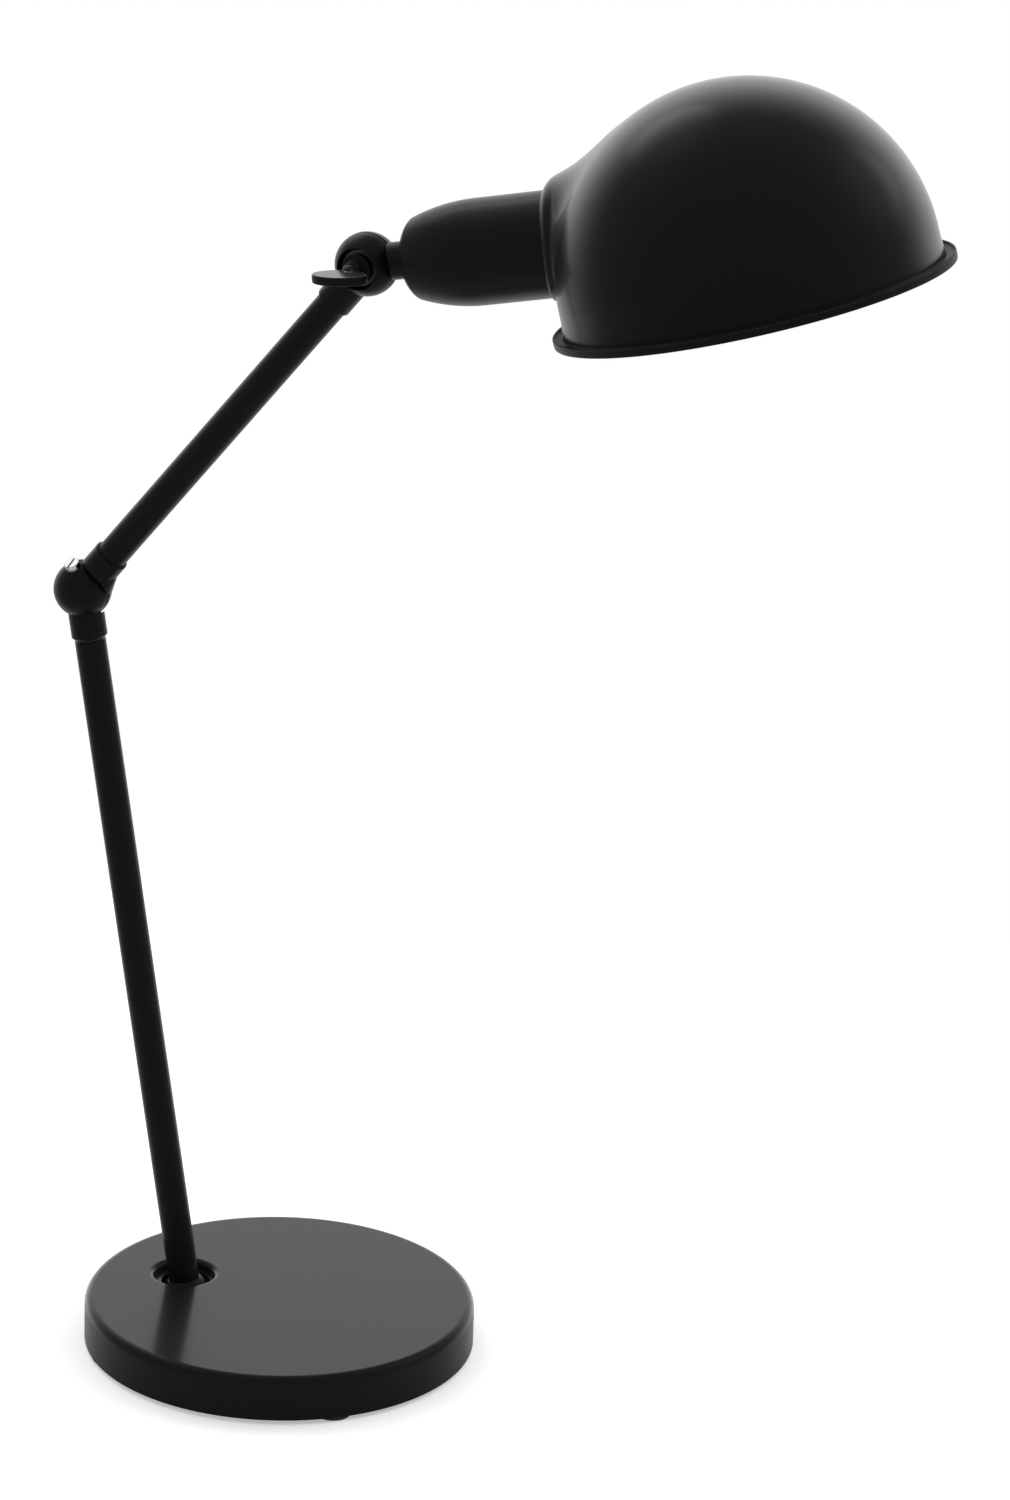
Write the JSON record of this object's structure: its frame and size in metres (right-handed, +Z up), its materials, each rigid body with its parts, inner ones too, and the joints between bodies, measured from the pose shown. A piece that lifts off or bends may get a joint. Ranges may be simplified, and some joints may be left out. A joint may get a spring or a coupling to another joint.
{
  "type": "table lamp",
  "caption": "Adjustable table lamp: weighted round base, two hinged tube arms and a tilting dome shade on a socket housing.",
  "frame": {"origin": "centre of the round base on the plane of the four feet, on the table", "axes": "+Z up, +X the way that the shade reaches over the table, Y along the three hinge axes; the lamp is symmetric about Y = 0 but for the knuckles, the screws and the wing"},
  "size_m": [0.3961, 0.17, 0.5929],
  "materials": {
    "black_paint": "satin",
    "zinc_steel": "satin",
    "bright_steel": "polished",
    "black_plate": "matte",
    "grey_iron": "matte",
    "black_rubber": "matte",
    "black_plastic": "satin",
    "fibre": "matte",
    "white_ceramic": "gloss",
    "brass": "satin"
  },
  "bodies": {
    "base": {"base_cover": "black_paint", "cover_posts": "zinc_steel", "base_weight": "grey_iron", "bottom_plate": "black_plate", "plate_screws": "zinc_steel", "rubber_feet": "black_rubber", "cord_bush": "black_plastic", "cord_bush_nut": "black_plastic", "hinge_bracket": "zinc_steel", "bracket_screws": "zinc_steel", "hinge_bolt": "zinc_steel", "hinge_nut": "zinc_steel", "hinge_washers": "fibre"},
    "lower_arm": {"arm_foot": "black_paint", "lower_tube": "black_paint", "lower_tube_bush": "zinc_steel", "elbow_lower_nipple": "zinc_steel", "elbow_lower_knuckle": "black_paint", "elbow_friction_washer": "fibre", "elbow_pivot_screw": "zinc_steel", "elbow_spring_washer": "zinc_steel", "elbow_stop_screw": "bright_steel"},
    "upper_arm": {"elbow_upper_knuckle": "black_paint", "elbow_upper_nipple": "zinc_steel", "upper_tube": "black_paint", "upper_tube_bushes": "zinc_steel", "wrist_nipple": "zinc_steel", "wrist_arm_knuckle": "black_paint", "wrist_friction_washer": "fibre", "wrist_pressure_washer": "zinc_steel"},
    "head": {"wrist_head_knuckle": "black_paint", "head_nipple": "zinc_steel", "housing_locknut": "zinc_steel", "socket_housing": "black_paint", "lampholder_cap": "black_plastic", "lampholder_body": "black_plastic", "lampholder_insert": "white_ceramic", "screw_shell": "brass", "centre_contact": "brass", "terminal_screws": "zinc_steel", "shade_ring": "black_plastic", "shade": "black_paint"},
    "wing_screw": {"wing_screw": "black_paint"}
  },
  "joints": [
    {"name": "base_tilt", "type": "hinge", "parent": "base", "child": "lower_arm", "pos_m": [-0.04587, 0, 0.0103], "axis": [0, 1, 0], "range_deg": [-15, 25]},
    {"name": "elbow", "type": "hinge", "parent": "lower_arm", "child": "upper_arm", "pos_m": [-0.10083, 0, 0.3295], "axis": [0, 1, 0], "range_deg": [-6, 44]},
    {"name": "wrist", "type": "hinge", "parent": "upper_arm", "child": "head", "pos_m": [0.03071, 0, 0.49282], "axis": [0, 1, 0], "range_deg": [-60, 60]},
    {"name": "wing_turn", "type": "hinge", "parent": "head", "child": "wing_screw", "pos_m": [0.03071, 0, 0.49282], "axis": [0, 1, 0], "range_deg": [-90, 180]}
  ]
}
